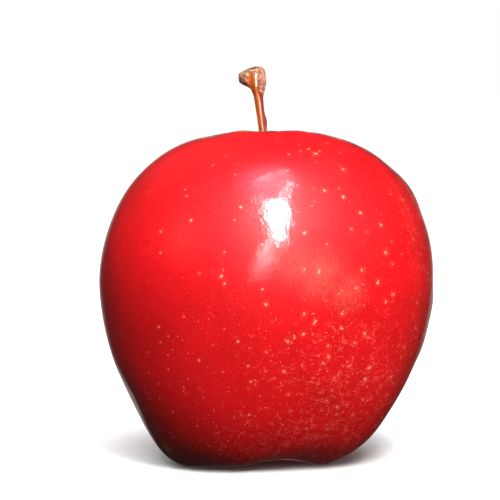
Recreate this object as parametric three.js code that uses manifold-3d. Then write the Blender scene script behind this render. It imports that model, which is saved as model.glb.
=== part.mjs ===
// A ripe red dessert apple with its stalk, standing on the lobes round its flower end.
// Millimetres, +Z up. The origin is the middle of the apple's footprint, on the surface it rests on.
//
// The fruit is a turned body pushed into five lobes, cut flat where it stands. The stalk rises from a socket in
// the cavity on top. The dried flower, which is five sepals, ten stamens and the joined styles, sits in the eye
// of the basin underneath. Directions round the apple are angles from -Y towards +X.

import * as THREE from 'three';
import { mergeVertices } from 'three/addons/utils/BufferGeometryUtils.js';
import Module from 'manifold-3d';

const wasm = await Module();
wasm.setup();

const DEGREE = Math.PI / 180;
const GAP = 0.3; // clearance between two pieces that touch

// Fruit
const FRUIT_HEIGHT = 77.8; // feet to the crest round the cavity, before the feet are cut flat
const WIDEST_RADIUS = 40.5;
const WIDEST_Z = 43.7;
const CREST_RADIUS = 10; // ring where the shoulders turn down into the cavity
const FOOT_RADIUS = 19; // ring where the cheeks turn up into the basin
const FOOT_FLAT = 0.35; // how much of each foot the resting plane takes off
const CAVITY_FLOOR_Z = 66;
const SOCKET_DEPTH = 1.5; // the stalk's socket, below the cavity's floor
const BASIN_FLOOR_Z = 9;
const EYE_RADIUS = 2.2; // the pit in the middle of the basin, which holds the stamens
const EYE_DEPTH = 2.6;
const FRUIT_SIDES = 60;
const ARC_STEPS = 11; // rows of faces along each arc of the outline

// Lobes: a swell is a share of the radius, out at a lobe and in at a furrow.
const LOBE_COUNT = 5;
const LOBE_ANGLE = -36 * DEGREE; // the front left lobe, which is the broadest
const LOBE_SKEW = 1.8; // how much broader it is than the lobes at the back
const SWELL_AT_MIDDLE = 0.016;
const SWELL_LOW = 0.063; // added towards the base
const SWELL_AT_FOOT = -0.05; // and taken off again close to the feet
const SWELL_AT_CREST = 0.004;
const FURROW_RISE = 2.6; // height of the base between two feet
const CREST_WAVE = 0.4; // rise and fall of the shoulders' crest

// The fruit grew a little crooked: its axis leans towards +X, and its base is drawn towards -X.
const LEAN = 0.02;
const BASE_DRAW = 2.6;

// Stalk
const STEM_RADIUS = 1.05;
const STEM_FOOT_RADIUS = 1.45;
const STEM_TOP_Z = 93.9;
const KNOB_RADIUS = 2.5; // the thick end that was joined to the spur
const KNOB_HEIGHT = 5;
const STEM_LEAN = -3.4; // how far the top stands from the foot, along X
const STEM_SIDES = 16;

// Dried flower
const SEPAL_COUNT = 5;
const SEPAL_LENGTH = 5.6;
const SEPAL_WIDTH = 2.8;
const SEPAL_THICKNESS = 0.5;
const STAMEN_COUNT = 10;
const STAMEN_RING_RADIUS = 1.35;
const STAMEN_RADIUS = 0.19;
const STAMEN_LENGTH = 4.6;
const STYLE_RADIUS = 0.45;
const STYLE_LENGTH = 5.0;

const SKIN = { color: '#c3161c', roughness: 0.35, metalness: 0 };
const WOODY = { color: '#8a5433', roughness: 0.6, metalness: 0 };
const DRY_LEAF = { color: '#6b5138', roughness: 0.85, metalness: 0 };
const DRY_THREAD = { color: '#4a3524', roughness: 0.85, metalness: 0 };

// --- small helpers -----------------------------------------------------------------------------------------

function clampUnit(value) {
  return Math.min(Math.max(value, 0), 1);
}

// A hill of height 1 at the centre that falls smoothly to 0 at the given distance from it.
function hill(value, centre, reach) {
  const near = clampUnit(1 - Math.abs(value - centre) / reach);
  return near * near * (3 - 2 * near);
}

// Moves every vertex of a geometry by a function that changes the point it is given.
function reshape(geometry, move) {
  const position = geometry.attributes.position;
  const point = new THREE.Vector3();
  for (let i = 0; i < position.count; i += 1) {
    point.fromBufferAttribute(position, i);
    move(point);
    position.setXYZ(i, point.x, point.y, point.z);
  }
  return geometry;
}

// Joins the seams of a geometry and drops the collapsed triangles at its poles, so that it is one closed skin.
function closed(geometry) {
  geometry.deleteAttribute('normal');
  geometry.deleteAttribute('uv');
  const merged = mergeVertices(geometry);
  const corners = merged.index.array;
  const kept = [];
  for (let i = 0; i < corners.length; i += 3) {
    const [a, b, c] = corners.slice(i, i + 3);
    if (a !== b && b !== c && c !== a) {
      kept.push(a, b, c);
    }
  }
  merged.setIndex(kept);
  return merged;
}

// Turns an outline of (radius, height) points round the Z axis. The outline runs upwards on the outside.
function turned(points, sides) {
  const geometry = new THREE.LatheGeometry(points, sides);
  geometry.rotateX(Math.PI / 2);
  return closed(geometry);
}

function solid(geometry) {
  return new wasm.Manifold(new wasm.Mesh({
    numProp: 3,
    vertProperties: new Float32Array(geometry.attributes.position.array),
    triVerts: new Uint32Array(geometry.index.array),
  }));
}

function geometryOf(manifold) {
  const mesh = manifold.getMesh();
  const geometry = new THREE.BufferGeometry();
  geometry.setAttribute('position', new THREE.BufferAttribute(mesh.vertProperties, mesh.numProp));
  geometry.setIndex(new THREE.BufferAttribute(mesh.triVerts, 1));
  return geometry;
}

function piece(name, geometry, finish) {
  geometry.computeVertexNormals();
  const mesh = new THREE.Mesh(geometry, new THREE.MeshStandardMaterial(finish));
  mesh.name = name;
  return mesh;
}

// --- fruit -------------------------------------------------------------------------------------------------

// The fruit's outline, from the eye at the bottom, over the cheek and shoulder, to the socket at the top.
function fruitOutline() {
  const outline = new THREE.Path();
  const eyeTop = BASIN_FLOOR_Z + EYE_DEPTH;
  const socketRadius = STEM_FOOT_RADIUS + GAP;
  outline.moveTo(0, eyeTop);
  outline.lineTo(EYE_RADIUS - GAP, eyeTop);
  outline.lineTo(EYE_RADIUS, BASIN_FLOOR_Z);
  outline.bezierCurveTo(7, BASIN_FLOOR_Z, 12.5, 0, FOOT_RADIUS, 0);
  outline.bezierCurveTo(26.2, 0, WIDEST_RADIUS, 22.2, WIDEST_RADIUS, WIDEST_Z);
  outline.bezierCurveTo(WIDEST_RADIUS, 62.4, 27.2, FRUIT_HEIGHT, CREST_RADIUS, FRUIT_HEIGHT);
  outline.bezierCurveTo(5.5, FRUIT_HEIGHT, 3.8, 71, socketRadius, CAVITY_FLOOR_Z);
  outline.lineTo(socketRadius, CAVITY_FLOOR_Z - SOCKET_DEPTH);
  outline.lineTo(0, CAVITY_FLOOR_Z - SOCKET_DEPTH);
  return outline.getPoints(ARC_STEPS);
}

// How far the fruit's axis stands from its foot, along X, at a height.
function axisX(z) {
  return LEAN * z - BASE_DRAW * clampUnit((WIDEST_Z - z) / WIDEST_Z) ** 4;
}

// Pushes a point of the turned fruit into its five lobes and moves it onto the crooked axis.
function shapeFruit(point) {
  const turn = Math.atan2(point.x, -point.y) - LOBE_ANGLE;
  const radius = Math.hypot(point.x, point.y);
  const lobe = Math.cos(LOBE_COUNT * turn - LOBE_SKEW * Math.sin(turn));
  const low = clampUnit((WIDEST_Z - point.z) / WIDEST_Z) ** 2;
  const high = clampUnit((point.z - WIDEST_Z) / (FRUIT_HEIGHT - WIDEST_Z)) ** 2;
  const swell = SWELL_AT_MIDDLE + SWELL_LOW * low + SWELL_AT_FOOT * low ** 3 + SWELL_AT_CREST * high;
  const open = clampUnit((radius - EYE_RADIUS) / (FOOT_RADIUS - EYE_RADIUS)) ** 2;
  const rise = FURROW_RISE * ((1 - lobe) / 2) * low ** 2 * open;
  const wave = CREST_WAVE * lobe * high * hill(radius, CREST_RADIUS, CREST_RADIUS - STEM_FOOT_RADIUS);
  point.x = point.x * (1 + lobe * swell) + axisX(point.z);
  point.y *= 1 + lobe * swell;
  point.z += rise + wave;
}

function makeFruit() {
  const body = reshape(turned(fruitOutline(), FRUIT_SIDES), shapeFruit);
  const block = closed(new THREE.BoxGeometry(4 * WIDEST_RADIUS, 4 * WIDEST_RADIUS, 2 * FRUIT_HEIGHT));
  block.translate(0, 0, FRUIT_HEIGHT + FOOT_FLAT);
  return piece('fruit', geometryOf(solid(body).intersect(solid(block))), SKIN);
}

// --- stalk -------------------------------------------------------------------------------------------------

const STEM_FOOT_Z = CAVITY_FLOOR_Z - SOCKET_DEPTH + GAP;

// The stalk's outline as it would stand straight, from its foot in the socket to the top of the knob.
function stemOutline() {
  const knobStart = STEM_TOP_Z - KNOB_HEIGHT;
  const outline = new THREE.Path();
  outline.moveTo(0, STEM_FOOT_Z);
  outline.lineTo(STEM_FOOT_RADIUS - GAP, STEM_FOOT_Z);
  outline.bezierCurveTo(
    STEM_FOOT_RADIUS, STEM_FOOT_Z + 3, STEM_RADIUS, STEM_FOOT_Z + 6, STEM_RADIUS, STEM_FOOT_Z + 12);
  outline.bezierCurveTo(
    STEM_RADIUS, knobStart - 3, 1.1 * STEM_RADIUS, knobStart - 1, KNOB_RADIUS, STEM_TOP_Z - 3.2);
  outline.bezierCurveTo(1.15 * KNOB_RADIUS, STEM_TOP_Z - 1.5, 0.8 * KNOB_RADIUS, STEM_TOP_Z, 0, STEM_TOP_Z);
  return outline.getPoints(8);
}

// Bulges the knob to the left, with the bud scar on its right, and bends the stalk over.
function shapeStem(point) {
  const angle = Math.atan2(point.x, -point.y);
  const away = clampUnit((point.z - STEM_FOOT_Z) / (STEM_TOP_Z - STEM_FOOT_Z));
  const lump = 0.5 * hill(point.z, STEM_TOP_Z - 3.6, 2.6) * hill(angle, -85 * DEGREE, 75 * DEGREE);
  const scar = 0.2 * hill(point.z, STEM_TOP_Z - 4, 3) * hill(angle, 75 * DEGREE, 80 * DEGREE);
  point.x = point.x * (1 + lump + scar) + STEM_LEAN * away ** 1.15 + axisX(STEM_FOOT_Z);
  point.y *= 1 + lump + scar;
}

function makeStem() {
  return piece('stem', reshape(turned(stemOutline(), STEM_SIDES), shapeStem), WOODY);
}

// --- dried flower ------------------------------------------------------------------------------------------

// A sepal grows down from the basin's floor beside the eye, narrows to a point and curls outwards.
function makeSepal(index) {
  const geometry = closed(new THREE.BoxGeometry(1, 1, 1, 2, 6, 1));
  reshape(geometry, (point) => {
    const along = point.y + 0.5;
    const curl = 75 * DEGREE * along;
    const width = SEPAL_WIDTH * (1 - 0.85 * along ** 1.4);
    const bow = 0.35 * (1 - 4 * point.x ** 2) * (1 - along);
    const thickness = SEPAL_THICKNESS * (1 - 0.4 * along);
    const out = (SEPAL_LENGTH * (1 - Math.cos(curl))) / (75 * DEGREE) + bow - point.z * thickness * Math.cos(curl);
    const down = (SEPAL_LENGTH * Math.sin(curl)) / (75 * DEGREE) + point.z * thickness * Math.sin(curl);
    point.set(point.x * width, -out, -down);
  });
  geometry.translate(0, -(EYE_RADIUS + 0.9), BASIN_FLOOR_Z - 0.6);
  geometry.rotateZ(LOBE_ANGLE + (index * 360 * DEGREE) / SEPAL_COUNT);
  geometry.translate(axisX(BASIN_FLOOR_Z), 0, 0);
  return piece(`sepal_${index + 1}`, geometry, DRY_LEAF);
}

// A stamen is a thread with a shrivelled anther at its end, hanging from the eye and leaning outwards.
function makeStamen(index) {
  const root = BASIN_FLOOR_Z + EYE_DEPTH - GAP;
  const tip = root - STAMEN_LENGTH;
  const outline = new THREE.Path();
  outline.moveTo(0, tip);
  outline.quadraticCurveTo(2.2 * STAMEN_RADIUS, tip + 0.2, STAMEN_RADIUS, tip + 1);
  outline.lineTo(STAMEN_RADIUS, root);
  outline.lineTo(0, root);
  const geometry = turned(outline.getPoints(3), 6);
  geometry.translate(0, -STAMEN_RING_RADIUS, 0);
  reshape(geometry, (point) => {
    const hanging = (root - point.z) / STAMEN_LENGTH;
    point.y -= 0.9 * hanging ** 2;
  });
  geometry.rotateZ(((index + 0.5) * 360 * DEGREE) / STAMEN_COUNT);
  geometry.translate(axisX(BASIN_FLOOR_Z), 0, 0);
  return piece(`stamen_${String(index + 1).padStart(2, '0')}`, geometry, DRY_THREAD);
}

function makeStyle() {
  const root = BASIN_FLOOR_Z + EYE_DEPTH - GAP;
  const tip = root - STYLE_LENGTH;
  const outline = new THREE.Path();
  outline.moveTo(0, tip);
  outline.quadraticCurveTo(1.2 * STYLE_RADIUS, tip, 0.7 * STYLE_RADIUS, tip + 1.2);
  outline.lineTo(STYLE_RADIUS, root);
  outline.lineTo(0, root);
  const geometry = turned(outline.getPoints(4), 8);
  geometry.translate(axisX(BASIN_FLOOR_Z), 0, 0);
  return piece('style', geometry, DRY_THREAD);
}

// --- the apple ---------------------------------------------------------------------------------------------

const apple = new THREE.Group();
const fruit = makeFruit();
apple.add(fruit, makeStem());
for (let i = 0; i < SEPAL_COUNT; i += 1) {
  apple.add(makeSepal(i));
}
for (let i = 0; i < STAMEN_COUNT; i += 1) {
  apple.add(makeStamen(i));
}
apple.add(makeStyle());

const footprint = new THREE.Box3().setFromObject(fruit);
const middle = footprint.getCenter(new THREE.Vector3());
apple.position.set(-middle.x, -middle.y, -footprint.min.z);

export default apple;
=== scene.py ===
# %% [markdown]
# # A ripe red apple
#
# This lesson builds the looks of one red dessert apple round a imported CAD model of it. The CAD
# model gives the real size and the place of every piece. Blender gives the fine shape and the skin,
# stalk and dried flower.
#
# The studio comes first, because a waxed skin can't be judged without its lights. Then come the
# fruit, its skin, the stalk and the dried flower underneath. Lengths are in millimetres until a
# mesh is made, and `MM` turns them into the metres that Blender works in.

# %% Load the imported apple
import math

import bmesh
import bpy
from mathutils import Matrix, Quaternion, Vector, noise
from mathutils.bvhtree import BVHTree
from mathutils.geometry import interpolate_bezier


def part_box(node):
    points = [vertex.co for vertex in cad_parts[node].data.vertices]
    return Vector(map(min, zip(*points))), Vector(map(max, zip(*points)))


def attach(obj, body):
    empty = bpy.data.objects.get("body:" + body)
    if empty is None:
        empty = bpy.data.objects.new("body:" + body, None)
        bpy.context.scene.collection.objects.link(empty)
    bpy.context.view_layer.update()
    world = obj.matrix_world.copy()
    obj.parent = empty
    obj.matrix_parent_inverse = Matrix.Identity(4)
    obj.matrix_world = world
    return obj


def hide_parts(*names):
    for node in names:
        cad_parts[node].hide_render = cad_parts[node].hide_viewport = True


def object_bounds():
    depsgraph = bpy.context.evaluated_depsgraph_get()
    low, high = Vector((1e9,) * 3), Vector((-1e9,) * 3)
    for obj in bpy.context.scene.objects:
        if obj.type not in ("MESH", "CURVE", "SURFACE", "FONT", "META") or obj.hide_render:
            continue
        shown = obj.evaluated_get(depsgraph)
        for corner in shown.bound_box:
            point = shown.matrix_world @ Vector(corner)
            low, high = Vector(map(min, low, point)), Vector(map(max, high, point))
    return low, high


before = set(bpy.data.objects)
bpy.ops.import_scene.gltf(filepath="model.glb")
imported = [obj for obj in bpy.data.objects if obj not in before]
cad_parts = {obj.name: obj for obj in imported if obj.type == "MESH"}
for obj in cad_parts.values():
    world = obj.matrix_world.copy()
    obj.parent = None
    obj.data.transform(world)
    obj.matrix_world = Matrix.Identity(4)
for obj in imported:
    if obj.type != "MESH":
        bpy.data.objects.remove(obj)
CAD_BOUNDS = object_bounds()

MM = 0.001
BODY = "root"
cad_size = CAD_BOUNDS[1] - CAD_BOUNDS[0]
print("CAD nodes:", len(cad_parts), "size in mm:", [round(v / MM, 1) for v in cad_size])

# %% [markdown]
# ## Camera
#
# A short lens held close would swell the fruit's middle, so a long lens from half a metre away
# keeps its outline true. The camera stands a little above the fruit's middle, so that the near
# shoulder just hides the cavity that the stalk grows from. It is aimed by turning it, not by
# shifting the lens.

# %% Place the camera
CAMERA_DISTANCE = 500 * MM
CAMERA_ELEVATION = math.radians(5.5)
LENS_MM = 150.3
FRUIT_MIDDLE = Vector((0, 0, 39.65 * MM))
AIM = Vector((-3.85 * MM, 0, 49.8 * MM))

camera = bpy.data.objects.new("camera", bpy.data.cameras.new("camera"))
bpy.context.collection.objects.link(camera)
camera.data.sensor_width = 36
camera.data.lens = LENS_MM
towards_camera = Vector((0, -math.cos(CAMERA_ELEVATION), math.sin(CAMERA_ELEVATION)))
camera.location = FRUIT_MIDDLE + towards_camera * CAMERA_DISTANCE
camera.rotation_euler = (AIM - camera.location).to_track_quat("-Z", "Y").to_euler()
camera.data.clip_start = 0.01
bpy.context.scene.camera = camera
print("camera at", [round(v, 3) for v in camera.location])

# %% [markdown]
# ## Nodes and colours
#
# Every material below is a small graph of nodes. One helper adds a node: its own settings are
# keyword arguments, and `inputs` gives each socket either a value or the output that feeds it.
# Colours are written as the sRGB hex values that a painter would pick, and one function turns them
# into the linear values that light needs. Patterns are measured in millimetres on the piece itself,
# so they stay put when the piece or the camera moves.

# %% Helpers for materials
MIX_A, MIX_B, MIX_COLOUR = 6, 7, 2  # the colour sockets of a Mix node


def linear(hex_colour):
    """Turns an sRGB hex colour into linear red, green, blue and alpha."""
    parts = [int(hex_colour[i:i + 2], 16) / 255 for i in (1, 3, 5)]
    return [p / 12.92 if p <= 0.04045 else ((p + 0.055) / 1.055) ** 2.4 for p in parts] + [1]


def add_node(tree, kind, inputs=None, **settings):
    """Adds a shader node. Each input is a value, or the socket or node that feeds it: a Mix node by
    its colour, any other by its first output."""
    made = tree.nodes.new("ShaderNode" + kind)
    for name, value in settings.items():
        setattr(made, name, value)
    for socket, value in (inputs or {}).items():
        if isinstance(value, bpy.types.Node):
            value = value.outputs[MIX_COLOUR if value.bl_idname == "ShaderNodeMix" else 0]
        if isinstance(value, bpy.types.NodeSocket):
            tree.links.new(value, made.inputs[socket])
        else:
            made.inputs[socket].default_value = value
    return made


def new_material(name):
    """Makes an empty material and returns it with its node tree."""
    material = bpy.data.materials.new(name)
    material.use_nodes = True
    material.node_tree.nodes.clear()
    return material, material.node_tree


def place_in_mm(tree):
    """The place on a piece in mm, so that a pattern's scale is one over its real size."""
    metres = add_node(tree, "TexCoord").outputs["Object"]
    return add_node(tree, "VectorMath", {0: metres, "Scale": 1 / MM}, operation="SCALE")


print("middle grey is", round(linear("#808080")[0], 3), "in linear light")


# %% [markdown]
# ## Floor
#
# The floor is a wide sheet of white paper under an even light of its own, so that it fades into the
# white background and still shows the fruit's soft shadow. A floor this bright would fill the
# fruit's shaded side with its glow, so the fruit doesn't see it: only the camera does.

# %% Lay the floor
FLOOR_RADIUS = 60.0
FIBRE_GRAIN = 2.5 * MM  # real fibres are far too fine to see from here, so this stands for them
floor_bm = bmesh.new()
bmesh.ops.create_circle(floor_bm, cap_ends=True, segments=96, radius=FLOOR_RADIUS)
floor_mesh = bpy.data.meshes.new("floor")
floor_bm.to_mesh(floor_mesh)
floor_bm.free()
floor = bpy.data.objects.new("floor", floor_mesh)
bpy.context.collection.objects.link(floor)
floor.visible_diffuse = False
floor.visible_glossy = False

# Uncoated paper is rough all over, so it gives the eye an even white with no shine.
floor_paper, tree = new_material("matt white paper")
place = add_node(tree, "TexCoord").outputs["Object"]
fibres = add_node(tree, "TexNoise", {"Vector": place, "Scale": 1 / FIBRE_GRAIN, "Detail": 2})
tone = add_node(tree, "Mix", {
    0: fibres, MIX_A: linear("#e4e4e2"), MIX_B: linear("#eeeeec")}, data_type="RGBA")
surface = add_node(tree, "BsdfPrincipled", {
    "Base Color": tone, "Roughness": 0.9, "Specular IOR Level": 0.2})
add_node(tree, "OutputMaterial", {"Surface": surface})
floor_mesh.materials.append(floor_paper)
print("floor radius in m:", FLOOR_RADIUS)

# %% [markdown]
# ## The room
#
# Waxed skin is half a mirror, so the room it stands in matters as much as the lights. No one
# backdrop suits every ray, so each kind gets its own. The camera sees plain white. The shaded skin
# is filled by a weak, even light. Mirrored rays meet a nearly dark room with two soft glows: a
# broad cool one high in front, which pales the shoulders, and a warm one behind, which shows only
# in the thin rim where skin mirrors the most.

# %% Fill the room
DARK_ROOM = (0.02, 0.02, 0.02)  # what mirrored rays meet away from the glows
FILL_STRENGTH = 0.085
ROOM_GLOWS = (  # direction, size along each axis, the part at full strength, strength and tint
    ((0.17, -0.68, 0.71), (1.26, 1.26, 1.26), 0.25, 0.34, "#dcdcff"),
    ((0.00, 0.98, -0.10), (0.46, 0.60, 0.34), 0.10, 0.65, "#ffe4da"),
)
world = bpy.data.worlds.new("pale studio")
world.use_nodes = True
tree = world.node_tree
tree.nodes.clear()
ray = add_node(tree, "LightPath")
way = add_node(tree, "TexCoord").outputs["Generated"]
shine = DARK_ROOM
for toward, reach, full, strength, tint in ROOM_GLOWS:
    away = add_node(tree, "VectorMath", {0: way, 1: toward}, operation="SUBTRACT")
    away = add_node(tree, "VectorMath", {0: away, 1: reach}, operation="DIVIDE")
    away = add_node(tree, "VectorMath", {0: away}, operation="LENGTH").outputs["Value"]
    part = add_node(tree, "MapRange", {
        "Value": away, "From Min": 1.0, "From Max": full, "To Max": strength},
        interpolation_type="SMOOTHSTEP")
    part = add_node(tree, "VectorMath", {0: linear(tint)[:3], "Scale": part}, operation="SCALE")
    shine = add_node(tree, "VectorMath", {0: part, 1: shine}, operation="ADD")
seen = add_node(tree, "Background", {"Color": linear("#ffffff"), "Strength": 1.0})
shining = add_node(tree, "Background", {"Color": shine, "Strength": 1.0})
filling = add_node(tree, "Background", {"Color": linear("#f4f6ff"), "Strength": FILL_STRENGTH})
room = add_node(tree, "MixShader", {0: ray.outputs["Is Glossy Ray"], 1: filling, 2: shining})
both = add_node(tree, "MixShader", {0: ray.outputs["Is Camera Ray"], 1: room, 2: seen})
add_node(tree, "OutputWorld", {"Surface": both})
bpy.context.scene.world = world
bpy.context.scene.view_settings.view_transform = "Standard"
print("glows in the room:", len(ROOM_GLOWS))

# %% [markdown]
# ## The main light
#
# The bright window on the skin is a mirror image of the main light, so the light has to have the
# window's shape. A plain panel would give a plain rectangle, and a mesh cut to shape would have one
# hard edge. So this panel glows only where soft ovals are drawn on it: a core, a thin spike off its
# upper right, a tail at its lower left, and dim ones that spread a veil round them. The ripples of
# the skin then tear the window's edges.

# %% Helpers for lights
def add_light(name, kind, azimuth, elevation, distance, **settings):
    """Adds a light aimed at the fruit. Azimuth 0 is the camera's side, and 90 is the right."""
    light = bpy.data.lights.new(name, kind)
    for key, value in settings.items():
        setattr(light, key, value)
    made = bpy.data.objects.new(name, light)
    a, e = math.radians(azimuth), math.radians(elevation)
    back = Vector((math.sin(a) * math.cos(e), -math.cos(a) * math.cos(e), math.sin(e)))
    made.location = FRUIT_MIDDLE + back * distance
    made.rotation_euler = back.to_track_quat("Z", "Y").to_euler()
    made.visible_camera = False
    bpy.context.collection.objects.link(made)
    return made


def add_softbox(name, azimuth, elevation, distance, width, height, radiance):
    """Adds a flat panel light. At a radiance of 1 it is as bright as white, whatever its size."""
    return add_light(
        name, "AREA", azimuth, elevation, distance, shape="RECTANGLE", size=width, size_y=height,
        energy=radiance * math.pi * width * height)


def shape_glow(light, blobs):
    """Puts soft-edged bright ovals on a light panel. Each has its centre and half sizes in metres,
    its tilt in degrees, its strength, and the part of its size that is at full strength."""
    light.data.use_nodes = True
    tree = light.data.node_tree
    tree.nodes.clear()
    spot = add_node(tree, "NewGeometry").outputs["Parametric"]
    size = Vector((light.data.size, light.data.size_y, 0))
    metres = add_node(tree, "VectorMath", {0: spot, 1: (0.5, 0.5, 0)}, operation="SUBTRACT")
    metres = add_node(tree, "VectorMath", {0: metres, 1: size}, operation="MULTIPLY")
    glow = 0.0
    for (x, y), (half_x, half_y), tilt, strength, full in blobs:
        near = add_node(tree, "Mapping", {
            "Vector": metres, "Location": (x, y, 0), "Rotation": (0, 0, math.radians(tilt)),
            "Scale": (half_x, half_y, 1)}, vector_type="TEXTURE")
        near = add_node(tree, "VectorMath", {0: near}, operation="LENGTH").outputs["Value"]
        near = add_node(tree, "MapRange", {
            "Value": near, "From Min": 1.0, "From Max": full, "To Max": strength},
            interpolation_type="SMOOTHSTEP")
        glow = add_node(tree, "Math", {0: near, 1: glow}, operation="MAXIMUM")
    shine = add_node(tree, "Emission", {"Strength": glow})
    add_node(tree, "OutputLight", {"Surface": shine})


print("lights aim at", [round(v / MM, 1) for v in FRUIT_MIDDLE], "mm")

# %% Draw the main light's window
key = add_softbox(
    "key_window", azimuth=12, elevation=46, distance=0.66, width=0.56, height=1.44, radiance=1)
shape_glow(key, (
    ((0.018, 0.015), (0.078, 0.190), -3, 49, 0.85),  # the core
    ((0.030, -0.190), (0.055, 0.045), 20, 44, 0.6),  # its rounded lower end
    ((0.100, 0.290), (0.009, 0.200), -14, 66, 0.3),  # the spike
    ((-0.075, -0.260), (0.014, 0.110), -27, 36, 0.4),  # the tail
    ((-0.050, 0.150), (0.022, 0.140), 0, 12, 0.5),  # a dim left edge to the core
    ((0.040, 0.430), (0.100, 0.250), -24, 1.7, 0.0),  # the veil over it
    ((-0.005, 0.480), (0.008, 0.120), -52, 46, 0.2),  # the veil's bright left edge
    ((0.125, 0.610), (0.018, 0.150), -8, 14, 0.2),  # and its peak
    ((-0.040, 0.100), (0.200, 0.300), 0, 1.2, 0.0),  # the faint glow all round
))
print("main light:", round(key.data.size, 2), "x", round(key.data.size_y, 2), "m")

# %% [markdown]
# ## The weaker lights
#
# Each of the others has one job. A card low in front draws the faint trail that falls from the
# window, and a cool card overhead pales the crest. The left panel stands high, so that the fruit's
# left foot falls into shade. The right and back panels keep those flanks from going black. A card
# on the floor stands for the light that the paper sends back, red because most of it has already
# touched the fruit. These last four are hidden from mirrored rays, since each would show as one
# more window.

# %% Add the trail card and the overhead card
trail = add_softbox(
    "trail_card", azimuth=-2, elevation=12, distance=0.8, width=0.6, height=0.6, radiance=1)
shape_glow(trail, (
    ((0.08, 0.02), (0.110, 0.26), -40, 4.6, 0.0),  # the trail
    ((0.08, 0.14), (0.010, 0.15), -25, 34.0, 0.1),  # two brighter threads in it
    ((0.12, 0.05), (0.012, 0.18), -40, 24.0, 0.1)))
overhead = add_softbox(
    "overhead_card", azimuth=6, elevation=78, distance=0.7, width=0.7, height=0.7, radiance=1)
overhead.data.color = linear("#d2d2ff")[:3]
shape_glow(overhead, (((0.03, 0), (0.25, 0.34), 0, 2.9, 0.1),))
print("cards:", trail.name, overhead.name)

# %% Fill the sides, the back and the underside
BOUNCE_AZIMUTH = 20
BOUNCE_HEIGHT = 1 * MM
left_fill = add_softbox(
    "left_fill", azimuth=-75, elevation=42, distance=1.4, width=1.4, height=1.0, radiance=1.7)
right_fill = add_softbox(
    "right_fill", azimuth=62, elevation=14, distance=1.2, width=0.7, height=0.9, radiance=1.2)
back_panel = add_softbox(
    "back_panel", azimuth=205, elevation=32, distance=1.4, width=0.8, height=1.0, radiance=3.0)
bounce = add_softbox(
    "floor_bounce", azimuth=BOUNCE_AZIMUTH, elevation=-10, distance=0.105, width=0.26, height=0.14,
    radiance=0.47)
bounce.data.color = linear("#ff6c5a")[:3]
bounce.location.z = BOUNCE_HEIGHT
bounce.rotation_euler = (math.pi, 0, math.radians(BOUNCE_AZIMUTH))  # flat on the floor, facing up
for light in (left_fill, right_fill, back_panel, bounce):
    light.visible_glossy = False
print("the bounce card lies", round(bounce.location.to_2d().length / MM), "mm from the axis")


# %% Light the floor by itself
def light_only(light, *objects):
    """Lets a light fall on these objects and no others."""
    group = bpy.data.collections.new("lit by " + light.name)
    for obj in objects:
        group.objects.link(obj)
    light.light_linking.receiver_collection = group


floor_light = add_light(
    "floor_light", "SUN", azimuth=10, elevation=66, distance=3, angle=math.radians(60), energy=4.6)
light_only(floor_light, floor)

# %% [markdown]
# ## The fruit's shape
#
# An apple grows round its core, so its basic shape is a turned one: an outline spun round the
# stalk's axis. It is never quite round, though. Five seed chambers push it into five lobes, strong
# at the base and faint on the shoulders. The body could be sculpted by hand, but its size would
# then be hard to hold. So the outline is spun first, and a formula then moves each point into the
# lobes. Small swells and ripples at three sizes follow, because they are what makes a highlight on
# real skin ragged.
#
# The numbers are the CAD model's own, and the fruit is set into the box that the CAD model gives
# for it.

# %% Spin the outline
# Heights are above the feet, and radii are from the stalk's axis.
FRUIT_HEIGHT = 77.8
WIDEST_RADIUS = 40.5
WIDEST_Z = 43.7
CREST_RADIUS = 10.0
FOOT_RADIUS = 19.0
CAVITY_FLOOR_Z = 66.0
BASIN_FLOOR_Z = 9.0
EYE_RADIUS = 2.2
FRUIT_STEPS = 220


def outline_points(arcs):
    """Joins Bezier arcs into one row of points. Each arc is its start, two handles and end, in
    radius and height, and its number of steps."""
    points = []
    for *corners, steps in arcs:
        curve = interpolate_bezier(*(Vector((r, 0, z)) for r, z in corners), steps + 1)
        points += curve[1:] if points else curve
    return points


def spun(points, steps):
    """Spins a row of points round the Z axis into a closed mesh whose faces point outwards."""
    bm = bmesh.new()
    row = [bm.verts.new(p) for p in points]
    edges = [bm.edges.new(pair) for pair in zip(row, row[1:])]
    bmesh.ops.spin(
        bm, geom=row + edges, cent=(0, 0, 0), axis=(0, 0, 1), angle=math.tau, steps=steps,
        use_merge=True)
    bmesh.ops.remove_doubles(bm, verts=bm.verts, dist=1e-5)
    bmesh.ops.recalc_face_normals(bm, faces=bm.faces)
    return bm


fruit_bm = spun(outline_points([
    ((0, 11.6), (0.6, 11.6), (1.3, 11.6), (1.9, 11.4), 4),
    ((1.9, 11.4), (2.1, 11.0), (2.1, BASIN_FLOOR_Z), (2.6, BASIN_FLOOR_Z), 5),
    ((2.6, BASIN_FLOOR_Z), (7.0, BASIN_FLOOR_Z), (12.5, 0), (FOOT_RADIUS, 0), 24),
    ((FOOT_RADIUS, 0), (26.2, 0), (WIDEST_RADIUS, 22.2), (WIDEST_RADIUS, WIDEST_Z), 46),
    ((WIDEST_RADIUS, WIDEST_Z), (WIDEST_RADIUS, 62.4), (27.2, FRUIT_HEIGHT),
     (CREST_RADIUS, FRUIT_HEIGHT), 46),
    ((CREST_RADIUS, FRUIT_HEIGHT), (5.5, FRUIT_HEIGHT), (3.8, 71.0), (1.75, CAVITY_FLOOR_Z), 24),
    ((1.75, CAVITY_FLOOR_Z), (1.6, 65.6), (0.8, 65.5), (0, 65.5), 4),
]), FRUIT_STEPS)
print("fruit:", len(fruit_bm.faces), "faces")

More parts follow.
